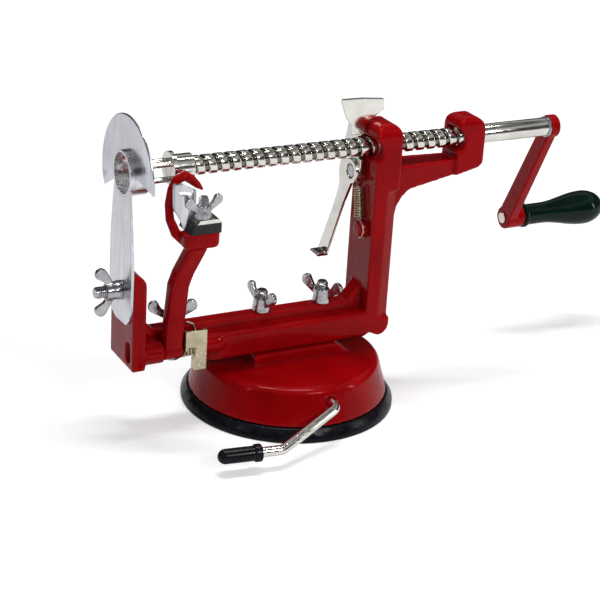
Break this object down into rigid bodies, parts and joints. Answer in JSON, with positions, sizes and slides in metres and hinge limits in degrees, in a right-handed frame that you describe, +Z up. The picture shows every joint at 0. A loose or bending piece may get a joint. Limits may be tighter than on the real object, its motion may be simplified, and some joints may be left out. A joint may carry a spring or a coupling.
{
  "type": "screw-feed fruit peeler",
  "caption": "Hand-cranked fruit peeler, corer and slicer: screw-fed fork, sprung peeling arm, helical slicing blade, release lever and suction base.",
  "frame": {"origin": "centre of the suction pad's underside, on the table", "axes": "+Z up; +X along the feed screw towards the crank; the slicing blade is on -X and the peeling arm stands on the -Y side"},
  "size_m": [0.3156, 0.126, 0.159],
  "materials": {
    "red_enamel": "gloss",
    "chrome": "polished",
    "zinc": "zinc plated",
    "blade_steel": "satin",
    "nut_steel": "nickel plated casting",
    "rubber": "satin",
    "black_coat": "gloss",
    "grip": "gloss"
  },
  "bodies": {
    "frame": {"suction_pad": "rubber", "base_cap": "red_enamel", "base_studs": "nut_steel", "base_wing_nuts": "nut_steel", "frame_casting": "red_enamel", "blade_stem": "blade_steel", "coring_ring": "blade_steel", "slicing_disc": "blade_steel", "blade_bolt": "nut_steel", "blade_wing_nut": "nut_steel", "arm_pivot_pin": "zinc", "arm_spring": "zinc", "arm_stop_bolt": "nut_steel", "arm_stop_wing_nut": "nut_steel", "release_pivot_screw": "nut_steel", "release_spring": "zinc"},
    "suction_lever": {"lever_rod": "chrome", "lever_sleeve": "rubber", "lever_cam": "zinc"},
    "suction_stem": {"suction_stem": "zinc"},
    "peeling_arm": {"peeler_arm": "red_enamel", "blade_holder": "black_coat", "peeler_blade": "blade_steel", "clamp_plate": "chrome", "clamp_stud": "nut_steel", "clamp_wing_nut": "nut_steel"},
    "arm_catch": {"arm_catch": "zinc"},
    "release_lever": {"release_lever": "chrome"},
    "screw_slide": {"thrust_washer": "nut_steel"},
    "feed_screw": {"screw_shaft": "chrome", "drive_fork": "chrome", "crank_arm": "red_enamel", "grip_pin": "chrome"},
    "grip": {"crank_grip": "grip"}
  },
  "joints": [
    {"name": "suction_lever_turn", "type": "hinge", "parent": "frame", "child": "suction_lever", "pos_m": [0, 0, 0.018], "axis": [0, 1, 0], "range_deg": [0, 160]},
    {"name": "suction_stem_lift", "type": "slide", "parent": "frame", "child": "suction_stem", "axis": [0, 0, 1], "range_m": [-0.00256, 0]},
    {"name": "arm_swing", "type": "hinge", "parent": "frame", "child": "peeling_arm", "pos_m": [-0.07, -0.0092, 0.0405], "axis": [1, 0, 0], "range_deg": [0, 45], "stiffness_Nm_per_rad": 0.25, "springref_deg": -22.92},
    {"name": "catch_press", "type": "hinge", "parent": "frame", "child": "arm_catch", "pos_m": [-0.059, -0.0092, 0.0405], "axis": [1, 0, 0], "range_deg": [0, 18], "stiffness_Nm_per_rad": 0.03, "springref_deg": -17.19},
    {"name": "release_swing", "type": "hinge", "parent": "frame", "child": "release_lever", "pos_m": [0.034, 0.005, 0.117], "axis": [-1, 0, 0], "range_deg": [0, 14], "stiffness_Nm_per_rad": 0.4, "springref_deg": -17.19, "deforming": ["release_spring"]},
    {"name": "screw_travel", "type": "slide", "parent": "frame", "child": "screw_slide", "axis": [1, 0, 0], "range_m": [-0.019, 0.0857]},
    {"name": "crank_turn", "type": "hinge", "parent": "screw_slide", "child": "feed_screw", "pos_m": [0.1, 0, 0.131], "axis": [1, 0, 0], "range_deg": [-1080, 4860]},
    {"name": "grip_spin", "type": "hinge", "parent": "feed_screw", "child": "grip", "pos_m": [0.18, 0.03025, 0.06898], "axis": [1, 0, 0], "continuous": true}
  ],
  "couplings": [
    {"joint": "suction_lever_turn", "follows": "suction_stem_lift", "rad_per_m": -1090.6},
    {"joint": "crank_turn", "follows": "screw_travel", "rad_per_m": 989.47}
  ]
}
